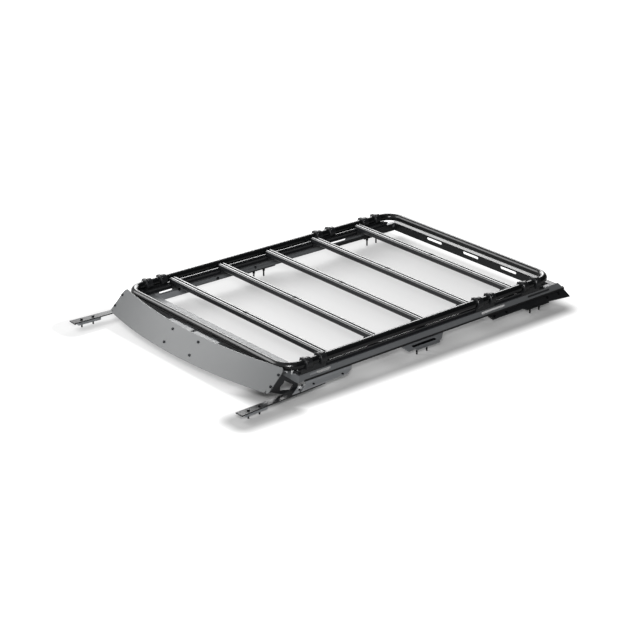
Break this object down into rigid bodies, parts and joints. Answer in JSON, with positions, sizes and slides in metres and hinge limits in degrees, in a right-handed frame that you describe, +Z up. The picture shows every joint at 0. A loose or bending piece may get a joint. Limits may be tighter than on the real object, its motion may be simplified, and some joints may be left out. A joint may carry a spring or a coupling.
{
  "type": "roof rack",
  "caption": "Vehicle roof rack: tube ring over slotted side rails, slotted crossbars, pierced side plates, bowed front fairing and studded mounting feet",
  "frame": {"origin": "middle of the rack on the level of the lowest stud tips", "axes": "+Z up, +Y to the rear of the vehicle and along the longest side, +X to the right-hand side as seen from behind"},
  "size_m": [1.348, 2.0786, 0.174],
  "materials": {
    "tube_coat": "black powder coat, satin",
    "extrusion_coat": "black powder-coated extrusion",
    "bracket_coat": "black powder coat",
    "fairing_coat": "grey powder coat, satin",
    "panel_coat": "dark grey powder coat",
    "foot_coat": "light grey powder coat",
    "trim_rubber": "matt",
    "spacer_alloy": "plain, brushed",
    "stud_steel": "black zinc plate"
  },
  "bodies": {
    "root": {"ring_front": "tube_coat", "ring_rear": "tube_coat", "ring_left": "tube_coat", "ring_right": "tube_coat", "ring_corner_front_left": "tube_coat", "ring_corner_front_right": "tube_coat", "ring_corner_rear_left": "tube_coat", "ring_corner_rear_right": "tube_coat", "side_rail_left": "extrusion_coat", "side_rail_right": "extrusion_coat", "side_plate_left": "panel_coat", "side_plate_right": "panel_coat", "edge_trim_left": "trim_rubber", "edge_trim_right": "trim_rubber", "crossbar_1": "extrusion_coat", "crossbar_2": "extrusion_coat", "crossbar_3": "extrusion_coat", "crossbar_4": "extrusion_coat", "crossbar_5": "extrusion_coat", "bar_brackets_left": "bracket_coat", "bar_brackets_right": "bracket_coat", "rear_panel": "bracket_coat", "clamp_front_left": "bracket_coat", "clamp_front_right": "bracket_coat", "clamp_middle_left": "bracket_coat", "clamp_middle_right": "bracket_coat", "clamp_rear_left": "bracket_coat", "clamp_rear_right": "bracket_coat", "fairing": "fairing_coat", "fairing_bracket_left": "bracket_coat", "fairing_bracket_right": "bracket_coat", "front_panel": "panel_coat", "front_strip_left": "bracket_coat", "front_strip_right": "bracket_coat", "front_foot_left": "foot_coat", "front_foot_right": "foot_coat", "front_spacer_left": "spacer_alloy", "front_spacer_right": "spacer_alloy", "front_studs": "stud_steel", "middle_foot_left": "panel_coat", "middle_foot_right": "panel_coat", "middle_studs": "stud_steel", "rear_foot_left": "bracket_coat", "rear_foot_right": "bracket_coat", "rear_studs": "stud_steel"}
  },
  "joints": []
}
